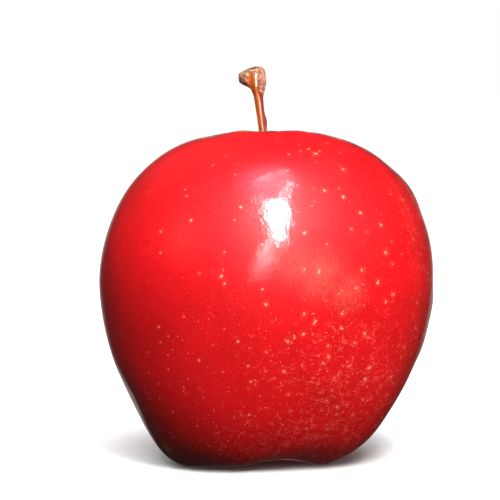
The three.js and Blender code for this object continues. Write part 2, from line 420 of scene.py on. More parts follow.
# %% Push the turned body into five lobes
LOBE_ANGLE = math.radians(-36)
LOBE_SKEW = 1.8  # how far the lobes are from evenly spaced
FOOT_FLAT = 0.35  # how much of each foot is pressed flat
BASIN_RISE = 2.6  # how far the rim of the basin lifts between two feet
CREST_WAVE = 0.4


def unit(value):
    return min(max(value, 0.0), 1.0)


def hill(value, centre, reach):
    """A smooth hill, 1 at the centre and 0 at the given distance from it."""
    near = unit(1 - abs(value - centre) / reach)
    return near * near * (3 - 2 * near)


def axis_x(z):
    """How far the fruit's crooked axis stands from its foot at a height, in mm."""
    return 0.02 * z - 2.6 * unit((WIDEST_Z - z) / WIDEST_Z) ** 4


def lobed(p):
    """Moves a point of the turned body, in mm, into the five lobes and onto the crooked axis."""
    turn = math.atan2(p.x, -p.y) - LOBE_ANGLE
    radius = math.hypot(p.x, p.y)
    lobe = math.cos(5 * turn - LOBE_SKEW * math.sin(turn))
    low = unit((WIDEST_Z - p.z) / WIDEST_Z) ** 2
    high = unit((p.z - WIDEST_Z) / (FRUIT_HEIGHT - WIDEST_Z)) ** 2
    # The lobes are faint at the waist, grow towards the base, and shrink again on the feet.
    swell = 1 + lobe * (0.016 + 0.063 * low - 0.05 * low ** 3 + 0.004 * high)
    opening = unit((radius - EYE_RADIUS) / (FOOT_RADIUS - EYE_RADIUS)) ** 2
    rise = BASIN_RISE * (1 - lobe) / 2 * low ** 2 * opening
    wave = CREST_WAVE * lobe * high * hill(radius, CREST_RADIUS, CREST_RADIUS - 1.45)
    return Vector((p.x * swell + axis_x(p.z), p.y * swell, p.z + rise + wave))


for v in fruit_bm.verts:
    v.co = lobed(v.co)

low_corner = Vector((min(v.co[i] for v in fruit_bm.verts) for i in range(3)))
high_corner = Vector((max(v.co[i] for v in fruit_bm.verts) for i in range(3)))
cad_low, cad_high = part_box("fruit")
SHIFT = (cad_low + cad_high) / 2 / MM - (low_corner + high_corner) / 2
SHIFT.z = cad_low.z / MM - FOOT_FLAT
print("the fruit moves by", [round(v, 2) for v in SHIFT], "mm to stand in the CAD box")

# %% Add the swells and hollows, and stand it on flat feet
SWELLS = (  # centre, reach and height of each, in mm
    ((34.6, -1.5, 65.0), 9, 0.6),  # the right shoulder
    ((39.3, -3.7, 36.3), 8, 0.5),  # two below the right side's middle
    ((37.0, -6.0, 28.0), 8, 0.45),
    ((23.8, -14.0, 6.5), 9, 0.35),  # the right foot
    ((-31.5, -12.4, 14.5), 12, -0.75),  # the dent over the left foot
    ((-22.4, -12.8, 2.0), 8, 0.4),  # the left foot
    ((-37.5, -4.0, 55.0), 14, -0.3),  # the left shoulder
    ((3.5, -8.5, 77.5), 9, 1.5),  # the crest in front of the stalk
    ((-5.0, -9.5, 77.5), 8, 0.45),
    ((-3.0, 8.5, 78.0), 7, 0.95),  # the crest behind it
    ((-13.0, -19.0, 1.5), 10, -1.0),  # the two notches between the front feet
    ((11.0, -16.0, 1.5), 10, -0.9),
)
RIPPLES = ((24, 0.20), (10, 0.06), (4.5, 0.018))  # length and height in mm


def swelled(p, normal):
    """Moves a point along its normal by the swells and by soft noise at three sizes."""
    height = sum(h * hill((p - Vector(centre)).length, 0, reach) for centre, reach, h in SWELLS)
    return p + normal * (height + sum(h * noise.noise(p / length) for length, h in RIPPLES))


fruit_bm.normal_update()
moved = [swelled(v.co + SHIFT, v.normal) for v in fruit_bm.verts]
for v, p in zip(fruit_bm.verts, moved):
    p.z = max(p.z, 0)
    v.co = p * MM

skin_surface = BVHTree.FromBMesh(fruit_bm)
fruit_mesh = bpy.data.meshes.new("apple_fruit")
fruit_bm.to_mesh(fruit_mesh)
fruit_bm.free()
fruit_mesh.shade_smooth()
apple_fruit = bpy.data.objects.new("apple_fruit", fruit_mesh)
bpy.context.collection.objects.link(apple_fruit)
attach(apple_fruit, BODY)
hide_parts("fruit")
print("fruit box in mm:", [round(v / MM, 1) for v in apple_fruit.dimensions])

# %% [markdown]
# ## Where each mark grows
#
# The sunny side of an apple reddens first, and its marks differ from the shaded side's. A texture
# repeats the same everywhere and can't know this, and masks painted by hand would be lost with each
# change of shape. So each vertex stores how much of each mark there is: fine russet lines, bold
# pores, a dust of small ones, pale waxy haze that is mostly a painted sheen below the window, deep
# maroon that is mostly painted shade on the lower left, brown at the eye and the cavity with
# painted shade on the left foot, and the green that the sun never reached in the two hollows.
#
# Azimuths are in degrees from the front, positive to the right, which is the sunny side. The
# `drift` of a slow noise is added to an azimuth or a height, so that no mark ends along a straight
# line.

# %% Helpers for the amounts
def ramp(value, start, end):
    """Rises smoothly from 0 at start to 1 at end."""
    t = unit((value - start) / (end - start))
    return t * t * (3 - 2 * t)


def patch(p, centre, reach):
    """1 at a centre in mm, and 0 beyond its reach."""
    return hill((p - Vector(centre)).length, 0, reach)


def write_attribute(mesh, name, values):
    """Stores one number for each vertex, for a material to read."""
    mesh.attributes.new(name, "FLOAT", "POINT").data.foreach_set("value", values)


print("half way up a ramp:", ramp(0.5, 0, 1))

# %% Store the amounts on the vertices
DRIFT_SIZE = 21
amounts = {"russet": [], "bold": [], "dust": [], "haze_and_painted_sheen": [], "maroon_and_painted_shade": [], "green": [], "brown_and_painted_shade": []}
for v in fruit_mesh.vertices:
    p = v.co / MM
    azimuth = math.degrees(math.atan2(p.x, -p.y))
    drift = noise.noise(p / DRIFT_SIZE)
    back = ramp(abs(azimuth - 20), 100, 150)
    sunny = ramp(azimuth + 30 * drift, -35, 25) * (1 - ramp(azimuth, 120, 160))
    radius = math.hypot(p.x - SHIFT.x, p.y - SHIFT.y)
    side = ramp(azimuth, 34, 68) * (1 - ramp(p.z, 62, 78)) * (1 - back)
    in_basin = p.z < 20
    in_cavity = ramp(p.z, 60, 64) * (1 - ramp(p.z, 72, 76))
    bare = patch(p, (-22.6, -19.0, 4.9), 4.0)  # a spot on the left foot that never reddened
    amounts["russet"].append(max(
        0.82 * sunny * (1 - ramp(p.z + 12 * drift, 22, 58)), 0.84 * side, 0.35 * back,
        0.95 * ramp(azimuth + 20 * drift, -58, 5) * (1 - ramp(p.z + 6 * drift, 6, 28))))
    bold = ramp(azimuth + 20 * drift, -40, 25) * (1 - 0.5 * ramp(p.z + 6 * drift, 50, 66))
    amounts["bold"].append(max(bold * (1 - back), 0.45 * back))
    amounts["dust"].append(max(0.78 * bold * (1 - back), (1 - ramp(p.z + 8 * drift, 26, 60)), 0.64))
    # Haze: mostly a painted sheen just below and right of the window, where the main light's glow
    # falls, and partly milky wax.
    amounts["haze_and_painted_sheen"].append(max(
        0.7 * patch(p, (7.5, -39.0, 49), 8), patch(p, (12.0, -38.0, 47), 9),
        0.9 * patch(p, (18.0, -36.0, 43), 7), 0.2 * patch(p, (-19.0, -35.0, 55), 8)))
    # Maroon: mostly painted shade, darker on the lower left where the light falls off, plus one
    # small dark spot of the skin's own.
    amounts["maroon_and_painted_shade"].append(max(
        ramp(-azimuth, 0, 60) * (1 - ramp(p.z, 8, 34)),
        0.25 * ramp(-azimuth, -5, 40) * (1 - ramp(p.z, 30, 60)),
        0.4 * patch(p, (-26.6, -29.5, 53.3), 2.2)) * (1 - back))
    amounts["green"].append(max(
        (1 - ramp(radius + 2.5 * drift, 5.5, 11.5)) * ramp(p.z, 60, 70),
        (1 - ramp(radius, 3, 12)) * in_basin, 0.8 * patch(p, (-3, 8.0, 78.5), 6), 0.95 * bare))
    # Brown: the eye and the stalk's cavity are truly brown; the two terms on the left foot are
    # painted shade.
    amounts["brown_and_painted_shade"].append(max(
        0.5 * ramp(-azimuth, 10, 50) * (1 - ramp(p.z, 3, 12)) * (1 - back) * (1 - bare),
        0.7 * ramp(-azimuth, 40, 75) * (1 - ramp(p.z, 12, 30)) * (1 - back) * (1 - bare),
        (1 - ramp(radius, EYE_RADIUS, 5.0)) * in_basin,
        0.7 * (1 - ramp(radius + 2 * drift, 1.6, 4.5)) * in_cavity))
for name, values in amounts.items():
    write_attribute(fruit_mesh, name, values)
    average = sum(values) / len(values)
    print(name, "reaches", round(max(values), 2), "and averages", round(average, 3))

# %% [markdown]
# ## Apple skin
#
# The skin's red lies under a thin clear wax. That is why an apple shows two highlights in one
# place: the wax gives the small sharp window, and the cells below give a wide pink glow round it.
# One glossy surface would give only the first. So the material does as the skin does, with a rough
# base under a glossy coat.
#
# An image wrapped round the fruit would stretch and pinch at the two hollows, so the skin is a
# solid pattern that the fruit is cut from. The red is laid down from broad to fine, each layer
# mixed over the last one's `ground`. Clouds 14 mm across wander between two reds, and maroon,
# mostly painted shade, darkens the lower left. The grain and the shades stand for the cells. These
# are under 0.05 mm across, so they are drawn at 0.35 to 0.45 mm, to show at all.

# %% Lay down the reds and their grain
CLOUD_SIZE, GRAIN_SIZE, SHADE_SIZE = 14, 0.45, 0.35
skin, tree = new_material("waxy apple skin")
mm = place_in_mm(tree)
amount = {name: add_node(tree, "Attribute", attribute_name=name).outputs["Fac"] for name in amounts}

clouds = add_node(tree, "TexNoise", {
    "Vector": mm, "Scale": 1 / CLOUD_SIZE, "Detail": 3.0, "Roughness": 0.6})
ground = add_node(tree, "Mix", {
    0: add_node(tree, "MapRange", {"Value": clouds, "From Min": 0.32, "From Max": 0.68}),
    MIX_A: linear("#cd080f"), MIX_B: linear("#e30d16")}, data_type="RGBA")
# Maroon here is mostly painted shade on the lower left, with one small dark spot of the skin's own.
ground = add_node(tree, "Mix", {
    0: amount["maroon_and_painted_shade"], MIX_A: ground, MIX_B: linear("#8e080a")}, data_type="RGBA")
grain = add_node(tree, "TexNoise", {"Vector": mm, "Scale": 1 / GRAIN_SIZE, "Detail": 1.0})
grain = add_node(tree, "MapRange", {
    "Value": grain, "From Min": 0.45, "From Max": 0.75, "To Max": 0.12})
ground = add_node(tree, "Mix", {
    0: grain, MIX_A: ground, MIX_B: linear("#f2504a")}, data_type="RGBA")
shades = add_node(tree, "TexNoise", {"Vector": mm, "Scale": 1 / SHADE_SIZE, "Detail": 2.0})
shades = add_node(tree, "MapRange", {
    "Value": shades, "From Min": 0.3, "From Max": 0.7, "To Min": 0.88, "To Max": 1.12})
ground = add_node(tree, "VectorMath", {0: ground, "Scale": shades}, operation="SCALE")
print("skin nodes for the reds:", len(tree.nodes))

# %% [markdown]
# ## Haze and hollows
#
# Where the wax is thick and dull it scatters light, and the red looks milky. Most of this pale
# pink,
# though, is a painted sheen: it lies just below and right of the window, where the main light's
# wide glow falls. A plain soft patch of it would look airbrushed, so this haze is drawn as wisps
# about a millimetre wide, with ragged edges.
#
# In the two hollows the skin stays green. It meets the red in streaks that run out from the axis,
# because the skin was stretched that way as it grew. So their noise reads only the direction from
# the axis.

# %% Cloud the wax and paint a sheen below the window
WISP_SIZE = 1.1
slanted = add_node(tree, "Mapping", {"Vector": mm, "Rotation": (0, 0.5, 0), "Scale": (1, 1, 0.6)})
wisps = add_node(tree, "TexNoise", {
    "Vector": slanted, "Scale": 1 / WISP_SIZE, "Detail": 4.0, "Roughness": 0.75})
wisps = add_node(tree, "MapRange", {
    "Value": wisps, "From Min": 0.30, "From Max": 0.72, "To Min": 0.06, "To Max": 0.25})
# The pale wisps are mostly a painted sheen below and right of the window, and partly milky wax.
haze_and_painted_sheen = add_node(tree, "Math", {0: amount["haze_and_painted_sheen"], 1: wisps}, operation="MULTIPLY")
ground = add_node(tree, "Mix", {
    0: haze_and_painted_sheen, MIX_A: ground, MIX_B: linear("#ffa088")}, data_type="RGBA")
print("skin nodes with the haze:", len(tree.nodes))

# %% Turn the hollows green
STREAK_SCALE = 4.5  # on a circle of radius 1, which comes to about 28 streaks
outward = add_node(tree, "VectorMath", {0: mm, 1: (SHIFT.x, SHIFT.y, 0)}, operation="SUBTRACT")
outward = add_node(tree, "VectorMath", {0: outward, 1: (1, 1, 0)}, operation="MULTIPLY")
outward = add_node(tree, "VectorMath", {0: outward}, operation="NORMALIZE")
streaks = add_node(tree, "TexNoise", {
    "Vector": outward, "Scale": STREAK_SCALE, "Detail": 3.0, "Roughness": 0.6})
edge = add_node(tree, "Math", {0: streaks, 1: 1.6, 2: amount["green"]}, operation="MULTIPLY_ADD")
edge = add_node(tree, "MapRange", {"Value": edge, "From Min": 1.15, "From Max": 1.75})
hollow = add_node(tree, "Mix", {
    0: add_node(tree, "MapRange", {"Value": streaks, "From Min": 0.38, "From Max": 0.62}),
    MIX_A: linear("#7f7c2c"), MIX_B: linear("#a88c3c")}, data_type="RGBA")
ground = add_node(tree, "Mix", {0: edge, MIX_A: ground, MIX_B: hollow}, data_type="RGBA")
# Brown in the eye and the cavity, and painted shade on the left foot.
ground = add_node(tree, "Mix", {
    0: amount["brown_and_painted_shade"], MIX_A: ground, MIX_B: linear("#52300f")}, data_type="RGBA")
print("streaks round a hollow:", round(math.tau * STREAK_SCALE))

# %% [markdown]
# ## Pores
#
# The pale dots are the pores that a growing apple breathes through. Each is closed by a speck of
# cork 0.5 to 1 mm across, and they stand about 3 mm apart. A Voronoi texture scatters points evenly
# enough for that. The distance to the nearest point draws the dot, and the point's own random
# colour gives its size. Noise shifts the place that each point of skin reads, which tears the edges
# of the bold ones. To the eye they are warm sparks on the red.
#
# A few that stand out are placed by azimuth and height. A ray from outside finds the skin
# there.

# %% Scatter the pores
PORE_SPACING = 2.9
TEAR_SIZE, TEAR_REACH = 0.7, 1.7
tear = add_node(tree, "TexNoise", {"Vector": mm, "Scale": 1 / TEAR_SIZE, "Detail": 2.0})
tear = add_node(tree, "VectorMath", {
    0: tear.outputs["Color"], 1: (0.5, 0.5, 0.5)}, operation="SUBTRACT")
reach = add_node(tree, "Math", {0: amount["bold"], 1: TEAR_REACH}, operation="MULTIPLY")
torn = add_node(tree, "VectorMath", {0: tear, "Scale": reach}, operation="SCALE")
marked = add_node(tree, "VectorMath", {0: mm, 1: torn}, operation="ADD")
pores = add_node(tree, "TexVoronoi", {
    "Vector": marked, "Scale": 1 / PORE_SPACING, "Randomness": 0.9}, feature="F1")
pore_distance = add_node(tree, "Math", {0: pores, 1: PORE_SPACING}, operation="MULTIPLY")
pore_chance = add_node(tree, "SeparateColor", {"Color": pores.outputs["Color"]})
pore_reach = add_node(tree, "MapRange", {"Value": amount["bold"], "To Min": 0.26, "To Max": 0.42})
pore_share = add_node(tree, "MapRange", {"Value": pore_chance, "From Min": 0.25, "To Min": 0.02})
pore_size = add_node(tree, "Math", {0: pore_share, 1: pore_reach}, operation="MULTIPLY")
pore_gap = add_node(tree, "Math", {0: pore_distance, 1: pore_size}, operation="DIVIDE")
print("about", round(math.pi * (2 * WIDEST_RADIUS / PORE_SPACING) ** 2), "pores on the fruit")

# %% Place the boldest pores
BOLD_PORES = (  # azimuth in degrees from the front, height and radius in mm
    (36, 70, 0.42), (27, 73.5, 0.40), (31, 74, 0.26), (25, 74.5, 0.26), (23, 65.5, 0.36),
    (30, 64, 0.34), (-9, 62, 0.28), (35, 60.5, 0.38), (-26, 59, 0.26), (30, 57, 0.30),
    (13, 56.5, 0.38), (57, 54, 0.28), (42, 51.5, 0.42), (12, 48.5, 0.34), (17, 48, 0.44),
    (32, 48, 0.36), (-14, 47, 0.34), (38, 45, 0.40), (30, 44, 0.30), (24, 43, 0.36),
    (25, 43.5, 0.28), (0, 41, 0.34), (41, 40.5, 0.34), (57, 39.5, 0.36), (12, 38.5, 0.32),
    (16, 37, 0.36), (-36, 35, 0.26), (9, 33.5, 0.28), (34, 33.5, 0.42), (7, 32.5, 0.36),
    (-9, 32.5, 0.28), (21, 31, 0.32), (0, 30, 0.32), (-6, 27, 0.26), (20, 27, 0.34),
    (38, 25.5, 0.38), (6, 25.5, 0.32), (25, 20.5, 0.32),
)


def on_skin(azimuth, height):
    """The point of the skin, in mm, at an azimuth and a height."""
    a = math.radians(azimuth)
    out = Vector((math.sin(a), -math.cos(a), 0))
    start = (out * 2 * WIDEST_RADIUS + Vector((0, 0, height))) * MM
    return skin_surface.ray_cast(start, -out)[0] / MM


for azimuth, height, radius in BOLD_PORES:
    centre = on_skin(azimuth, height)
    gap = add_node(tree, "VectorMath", {0: marked, 1: centre}, operation="DISTANCE")
    gap = add_node(tree, "Math", {0: gap.outputs["Value"], 1: radius}, operation="DIVIDE")
    pore_gap = add_node(tree, "Math", {0: gap, 1: pore_gap}, operation="MINIMUM")
pore = add_node(tree, "MapRange", {
    "Value": pore_gap, "From Min": 1.15, "From Max": 0.6}, interpolation_type="SMOOTHSTEP")
halo = add_node(tree, "MapRange", {
    "Value": pore_gap, "From Min": 3.6, "From Max": 0.8, "To Max": 0.09},
    interpolation_type="SMOOTHSTEP")
ground = add_node(tree, "Mix", {
    0: halo, MIX_A: ground, MIX_B: linear("#ff8f68")}, data_type="RGBA")
print("pores placed by hand:", len(BOLD_PORES))

# %% [markdown]
# ## Dust and russet
#
# The smallest pores are under 0.2 mm across, a millimetre or so apart. They are drawn a little
# larger, and read as dust. Russet is cork too: it heals the tiny cracks that open where the skin is
# stretched, in curly lines 0.1 to 0.2 mm wide. A line is drawn where a soft noise crosses its
# middle value, which makes long curves, and a second noise breaks these into short ones. Five sizes
# of noise together keep the lines from following one rhythm.

# %% Dust the skin with the smallest pores
DUST_SPACING = 1.15
dust = add_node(tree, "TexVoronoi", {"Vector": mm, "Scale": 1 / DUST_SPACING}, feature="F1")
dust_chance = add_node(tree, "SeparateColor", {"Color": dust.outputs["Color"]})
dust_reach = add_node(tree, "MapRange", {
    "Value": add_node(tree, "Math", {0: dust_chance, 1: amount["dust"]}, operation="MULTIPLY"),
    "From Min": 0.42, "To Max": 0.19})
dust_mark = add_node(tree, "MapRange", {
    "Value": add_node(tree, "Math", {0: dust, 1: dust_reach}, operation="SUBTRACT"),
    "From Min": 0.04, "From Max": -0.03, "To Max": 0.85}, interpolation_type="SMOOTHSTEP")
ground = add_node(tree, "Mix", {
    0: dust_mark, MIX_A: ground, MIX_B: linear("#e08c78")}, data_type="RGBA")
print("specks of dust to each pore:", round((PORE_SPACING / DUST_SPACING) ** 2))

# %% Draw the russet lines
RUSSET_LINES = (  # size of the noise in mm, half width of its line in noise height, offset in mm
    (4.2, 0.009, 0), (3.0, 0.010, 40), (2.1, 0.012, 90), (1.5, 0.013, 140), (2.5, 0.011, 190))
RUSSET_STRENGTH = 0.6
lines = None
for spacing, half_width, offset in RUSSET_LINES:
    moved = add_node(tree, "Mapping", {
        "Vector": mm, "Location": (offset, offset, offset), "Scale": (1, 1, 1.35)})
    field = add_node(tree, "TexNoise", {
        "Vector": moved, "Scale": 1 / spacing, "Detail": 1.6, "Roughness": 0.6, "Distortion": 0.6})
    away = add_node(tree, "Math", {0: field, 1: 0.5}, operation="SUBTRACT")
    away = add_node(tree, "Math", {0: away}, operation="ABSOLUTE")
    line = add_node(tree, "MapRange", {
        "Value": away, "From Min": half_width, "From Max": half_width * 0.3},
        interpolation_type="SMOOTHSTEP")
    gate = add_node(tree, "TexNoise", {"Vector": moved, "Scale": 1.1 / spacing, "Detail": 1.0})
    lift = add_node(tree, "Math", {
        0: amount["russet"], 1: 0.26, 2: -0.055}, operation="MULTIPLY_ADD")
    gate = add_node(tree, "Math", {0: gate, 1: lift}, operation="ADD")
    gate = add_node(tree, "MapRange", {"Value": gate, "From Min": 0.70, "From Max": 0.76})
    line = add_node(tree, "Math", {0: line, 1: gate}, operation="MULTIPLY")
    if lines:
        line = add_node(tree, "Math", {0: lines, 1: line}, operation="MAXIMUM")
    lines = line
seen_lines = add_node(tree, "Math", {0: lines, 1: RUSSET_STRENGTH}, operation="MULTIPLY")
ground = add_node(tree, "Mix", {
    0: seen_lines, MIX_A: ground, MIX_B: linear("#f2907e")}, data_type="RGBA")
ground = add_node(tree, "Mix", {
    0: pore, MIX_A: ground, MIX_B: linear("#dca078")}, data_type="RGBA")
print("sizes of russet line:", len(RUSSET_LINES))

# %% [markdown]
# ## Relief and wax
#
# The skin waves gently every few millimetres, and the marks stand a hair's breadth proud. The
# finest relief, the bloom, is drawn a little deeper in the wax than in the skin below. It breaks
# the edge of the window into sparks and leaves the pink glow smooth. The wax is thin over cork, so
# the marks are duller than the skin round them.

# %% Give the skin its relief and its wax
WAVE_SIZE, WAVE_HEIGHT = 3.2, 0.045
CELL_SIZE, CELL_HEIGHT = 0.7, 0.022
BLOOM_SIZE, BLOOM_IN_SKIN, BLOOM_IN_WAX = 0.45, 0.020, 0.028
MARK_HEIGHT = 0.012
waves = add_node(tree, "TexNoise", {"Vector": mm, "Scale": 1 / WAVE_SIZE, "Detail": 1.5})
cells = add_node(tree, "TexNoise", {"Vector": mm, "Scale": 1 / CELL_SIZE, "Detail": 1.0})
marks = add_node(tree, "Math", {0: pore, 1: lines}, operation="MAXIMUM")
relief = add_node(tree, "Math", {0: waves, 1: WAVE_HEIGHT}, operation="MULTIPLY")
relief = add_node(tree, "Math", {0: cells, 1: CELL_HEIGHT, 2: relief}, operation="MULTIPLY_ADD")
relief = add_node(tree, "Math", {0: marks, 1: MARK_HEIGHT, 2: relief}, operation="MULTIPLY_ADD")
bloom = add_node(tree, "TexNoise", {"Vector": mm, "Scale": 1 / BLOOM_SIZE, "Detail": 1.0})
rough = add_node(tree, "Math", {0: bloom, 1: BLOOM_IN_SKIN, 2: relief}, operation="MULTIPLY_ADD")
bump = add_node(tree, "Bump", {"Height": rough, "Strength": 1.0, "Distance": MM})
shiny = add_node(tree, "Math", {0: bloom, 1: BLOOM_IN_WAX, 2: relief}, operation="MULTIPLY_ADD")
wax_bump = add_node(tree, "Bump", {"Height": shiny, "Strength": 1.0, "Distance": MM})
wax = add_node(tree, "MapRange", {"Value": marks, "To Min": 1.0, "To Max": 0.35})
surface = add_node(tree, "BsdfPrincipled", {
    "Base Color": ground, "Roughness": 0.45, "IOR": 1.45, "Specular IOR Level": 0.32,
    "Coat Weight": wax, "Coat Roughness": 0.06, "Normal": bump, "Coat Normal": wax_bump})
add_node(tree, "OutputMaterial", {"Surface": surface})
fruit_mesh.materials.append(skin)
print("skin nodes in all:", len(tree.nodes))

# %% [markdown]
# ## The stalk
#
# The stalk's knob is where it parted from the tree: cork has closed the wound on the left and the
# top, and the rough patch on the right is the scar of a bud. Between them a strip of smooth bark
# still runs up the middle.
#
# A curve with a round bevel would give a smooth stick and no more. So the stalk is turned from an
# outline like the fruit, and a formula then bends it over and raises the lump, the scar and the
# swelling. A number on each vertex says how corky it is, and the cork stands a little proud of the
# bark.

# %% Find the stalk's axis and its cork
STEM_FOOT_Z = 64.8
STEM_TOP_Z = 93.9
SHAFT_RADIUS = 0.94
KNOB_RADIUS = 2.05
STEM_LEAN = -2.65
STALK_X = SHIFT.x + axis_x(STEM_FOOT_Z)


def stalk_x(z):
    """Where the leaning stalk's axis stands at a height, in mm."""
    return STALK_X + STEM_LEAN * ramp(z, STEM_FOOT_Z, STEM_TOP_Z)


def corkiness(angle, below):
    """How corky the stalk is at an angle in degrees, where 90 is its right side, and at a depth
    below its top in mm."""
    left = ramp(-angle, 50, 60) * (1 - ramp(below, 4.6, 5.2))
    right = ramp(angle, 6, 14) * (1 - ramp(below, 6.4, 6.7))
    return max(left, right, 1 - ramp(below, 1.3, 1.9))


print("the stalk grows from", round(STALK_X, 2), "mm beside the origin")


# %% Turn and bend the stalk
STEM_STEPS = 96


def shaped_stem(p):
    """Gives a point of the turned stalk its lump, notch, swelling, cork and bend. Returns it with
    its corkiness."""
    angle = math.degrees(math.atan2(p.x, -p.y))
    below = STEM_TOP_Z - p.z
    wander = noise.noise(p / 1.1) * 12
    cork = corkiness(angle + wander, below + wander / 30)
    knob = 1 - ramp(below, 5.5, 7.5)
    lump = 2.3 * ramp(below, -0.1, 2.0) * (1 - ramp(below, 3.6, 5.6)) * hill(angle, -92, 62)
    ridge = 0.24 * knob * ramp(below, 1.0, 2.0) * hill(angle, -25, 26)
    notch = -0.20 * hill(below, 6.9, 0.8) * hill(angle, 40, 50)
    swelling = 0.34 * hill(below, 13.1, 2.6) * hill(angle, 88, 70)
    ribs = 0.02 * math.cos(math.radians(5 * angle)) * (1 - cork)
    rough = cork * (0.04 + 0.10 * noise.noise(p / 0.8) + 0.07 * noise.noise(p / 0.35))
    side = Vector((p.x, p.y, 0))
    out = unit(side.length / 1.4) * (lump + ridge + notch) + swelling + ribs + rough
    middle = Vector((stalk_x(p.z), SHIFT.y, p.z + SHIFT.z + (0.6 * rough if below < 1.5 else 0)))
    return middle + side + side.normalized() * out, cork


stem_bm = spun(outline_points([
    ((0, STEM_FOOT_Z + 0.6), (0.6, 65.4), (1.5, 65.3), (1.95, 65.5), 4),
    ((1.95, 65.5), (1.7, 66.6), (1.25, 67.5), (1.12, 70.0), 10),
    ((1.12, 70.0), (1.02, 72.0), (SHAFT_RADIUS, 74.0), (SHAFT_RADIUS, 76.8), 10),
    ((SHAFT_RADIUS, 76.8), (SHAFT_RADIUS, 80.8), (0.96, 83.8), (1.1, 86.2), 44),
    ((1.1, 86.2), (1.22, 88.0), (KNOB_RADIUS, 88.9), (KNOB_RADIUS, 91.1), 30),
    ((KNOB_RADIUS, 91.1), (KNOB_RADIUS, 92.9), (1.75, STEM_TOP_Z), (0, STEM_TOP_Z), 30),
]), STEM_STEPS)
shaped = [shaped_stem(v.co) for v in stem_bm.verts]
for v, (p, cork) in zip(stem_bm.verts, shaped):
    v.co = p * MM
print("stalk:", len(stem_bm.faces), "faces")


# %% A helper that finishes a piece
def add_piece(name, bm, material, slot, *nodes):
    """Makes a smooth piece from a bmesh. It replaces CAD nodes and rides on the fruit's body."""
    mesh = bpy.data.meshes.new(name)
    bm.to_mesh(mesh)
    bm.free()
    mesh.shade_smooth()
    mesh.materials.append(material)
    made = bpy.data.objects.new(name, mesh)
    bpy.context.collection.objects.link(made)
    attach(made, BODY)
    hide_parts(*nodes)
    return made


# %% [markdown]
# ## Bark and cork
#
# Stalk bark is thin, tight and waxed. To the eye it is a warm brown with fine lines along it and
# one sharp bright streak. It is orange-brown on the left, red on the right, where the sun reached
# it, and greener at the foot. Cork is dead, dry and crumbly, so it has no shine at all. Its pits
# are painted darker, partly their own colour and partly painted shade, and painted shade also
# darkens the lump's underside and the groove beside it. Two materials would meet along the edges of
# faces.
# One material that reads the corkiness of each vertex lets them grade into each other.

# %% Colour the bark
FIBRES_PER_MM = 2.2
FIBRE_STRETCH = 0.18  # a fibre shows five or six times as long as it is wide
bark, tree = new_material("glossy stalk bark and rough cork")
mm = place_in_mm(tree)
cork, sunny, low, painted_shade = (
    add_node(tree, "Attribute", attribute_name=name).outputs["Fac"]
    for name in ("cork", "sunny", "low", "painted_shade"))
long_grain = add_node(tree, "TexNoise", {
    "Vector": add_node(tree, "Mapping", {"Vector": mm, "Scale": (1, 1, FIBRE_STRETCH)}),
    "Scale": FIBRES_PER_MM, "Detail": 3})
bark_colour = add_node(tree, "Mix", {
    0: add_node(tree, "MapRange", {"Value": long_grain, "From Min": 0.35, "From Max": 0.65}),
    MIX_A: linear("#8a3e10"), MIX_B: linear("#b8601c")}, data_type="RGBA")
bark_colour = add_node(tree, "Mix", {
    0: sunny, MIX_A: bark_colour, MIX_B: linear("#8f2f20")}, data_type="RGBA")
bark_colour = add_node(tree, "Mix", {
    0: low, MIX_A: bark_colour, MIX_B: linear("#7c8a34")}, data_type="RGBA")
print("bark nodes:", len(tree.nodes))

# %% Colour the cork and finish the stalk
CRUMB_SIZE, CRUMB_HEIGHT = 0.9, 0.25
crumbs = add_node(tree, "TexNoise", {
    "Vector": mm, "Scale": 1 / CRUMB_SIZE, "Detail": 2.5, "Roughness": 0.6})
# Low crumbs are painted darker: partly the cork's own colour, partly painted shade in its pits.
cork_colour = add_node(tree, "Mix", {
    0: add_node(tree, "MapRange", {"Value": crumbs, "From Min": 0.40, "From Max": 0.62}),
    MIX_A: linear("#5c3a2a"), MIX_B: linear("#a67c5e")}, data_type="RGBA")
sunny_cork = add_node(tree, "Math", {0: sunny, 1: 0.6}, operation="MULTIPLY")
cork_colour = add_node(tree, "Mix", {
    0: sunny_cork, MIX_A: cork_colour, MIX_B: linear("#b07a5c")}, data_type="RGBA")
# Painted shade: the underside of the left lump and the groove beside it are darkened here.
cork_colour = add_node(tree, "Mix", {
    0: painted_shade, MIX_A: cork_colour, MIX_B: linear("#3a2014")}, data_type="RGBA")
stalk_colour = add_node(tree, "Mix", {
    0: cork, MIX_A: bark_colour, MIX_B: cork_colour}, data_type="RGBA")
relief = add_node(tree, "Math", {0: crumbs, 1: cork}, operation="MULTIPLY")
relief = add_node(tree, "Math", {0: relief, 1: CRUMB_HEIGHT}, operation="MULTIPLY")
bump = add_node(tree, "Bump", {"Height": relief, "Strength": 1.0, "Distance": MM})
# Bark's wax has an IOR near 1.5, but a streak this thin fades away at that. It needs 2.0 to show.
surface = add_node(tree, "BsdfPrincipled", {
    "Base Color": stalk_colour,
    "Roughness": add_node(tree, "MapRange", {"Value": cork, "To Min": 0.32, "To Max": 0.8}),
    "Coat Weight": add_node(tree, "MapRange", {"Value": cork, "To Min": 1.0, "To Max": 0.0}),
    "Coat Roughness": 0.08, "Coat IOR": 2.0, "Coat Normal": bump, "Normal": bump})
add_node(tree, "OutputMaterial", {"Surface": surface})

apple_stem = add_piece("apple_stem", stem_bm, bark, "stalk_wood", "stem")
azimuths = [math.degrees(math.atan2(p.x - stalk_x(p.z), SHIFT.y - p.y)) for p, cork in shaped]
depths = [STEM_TOP_Z + SHIFT.z - p.z for p, cork in shaped]
write_attribute(apple_stem.data, "cork", [cork for p, cork in shaped])
write_attribute(apple_stem.data, "sunny", [
    ramp(a, 4, 30) * (1 - ramp(a, 130, 170)) for a in azimuths])
